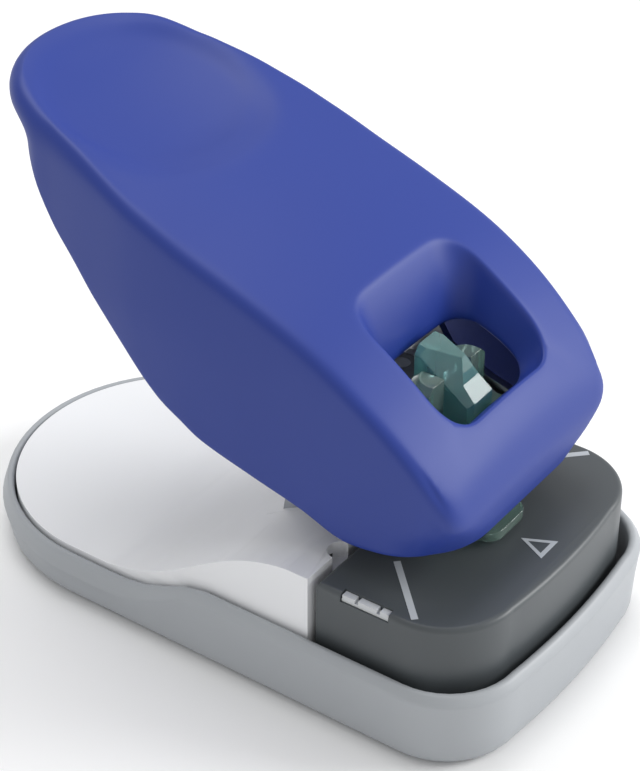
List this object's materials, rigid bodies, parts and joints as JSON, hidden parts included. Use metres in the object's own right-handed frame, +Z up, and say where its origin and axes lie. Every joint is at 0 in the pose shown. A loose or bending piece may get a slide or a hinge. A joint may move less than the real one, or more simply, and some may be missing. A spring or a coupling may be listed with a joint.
{
  "type": "staple-free paper binder",
  "caption": "Desktop press binder that joins paper without staples: grey tray, white cover, dark paper table and a hinged blue lever.",
  "frame": {"origin": "centre of the object's footprint on the desk surface", "axes": "+X across to the right, -Y towards the paper entry, +Z up"},
  "size_m": [0.062, 0.113, 0.0868],
  "materials": {
    "tray_plastic": "light grey moulded plastic, fine satin",
    "foot_rubber": "soft black rubber",
    "cover_plastic": "white moulded plastic, satin",
    "table_plastic": "dark grey moulded plastic, satin",
    "clip_plastic": "white plastic",
    "lever_plastic": "blue moulded plastic, satin",
    "clear_plastic": "clear polycarbonate",
    "teal_clear_plastic": "clear teal polycarbonate, polished",
    "beam_plastic": "black acetal",
    "bush_plastic": "natural nylon",
    "frame_steel": "zinc-plated pressed steel",
    "screw_steel": "bright zinc screws",
    "pin_steel": "ground steel",
    "spring_steel": "spring steel",
    "die_steel": "hardened steel",
    "blade_steel": "hardened, ground blade steel"
  },
  "bodies": {
    "base": {"base_tray": "tray_plastic", "foot_pads": "foot_rubber", "base_screws": "screw_steel", "body_cover": "cover_plastic", "paper_table": "table_plastic", "table_clips": "clip_plastic", "chassis": "frame_steel", "guide_posts": "pin_steel", "return_springs": "spring_steel", "pivot_pins": "pin_steel", "pivot_rings": "spring_steel", "die_block": "die_steel", "die_plate": "die_steel", "die_screws": "screw_steel", "guide_block": "clear_plastic", "guide_screws": "screw_steel"},
    "lever": {"lever_cover": "lever_plastic", "lever_frame": "frame_steel", "lever_screws": "screw_steel", "pivot_bushes": "bush_plastic"},
    "carriage": {"punch_block": "teal_clear_plastic", "carriage_beam": "beam_plastic", "carriage_screws": "screw_steel", "tongue_blade": "blade_steel", "slit_blade": "blade_steel", "blade_pins": "pin_steel", "drive_pin": "pin_steel", "drive_rings": "spring_steel", "pusher_pin": "pin_steel", "pusher_spring": "spring_steel"},
    "pusher": {"tongue_pusher": "die_steel"}
  },
  "joints": [
    {"name": "lever_hinge", "type": "hinge", "parent": "base", "child": "lever", "pos_m": [0, -0.039, 0.037], "axis": [-1, 0, 0], "range_deg": [0, 17], "stiffness_Nm_per_rad": 0.4, "springref_deg": -28.65},
    {"name": "carriage_slide", "type": "slide", "parent": "base", "child": "carriage", "axis": [0, 0, -1], "range_m": [0, 0.0056], "deforming": ["return_springs"]},
    {"name": "pusher_hinge", "type": "hinge", "parent": "carriage", "child": "pusher", "pos_m": [0, -0.0315, 0.029], "axis": [1, 0, 0], "range_deg": [0, 60]}
  ],
  "couplings": [
    {"joint": "carriage_slide", "follows": "lever_hinge", "m_per_rad": 0.01855},
    {"joint": "pusher_hinge", "follows": "lever_hinge", "ratio": 3.5}
  ]
}
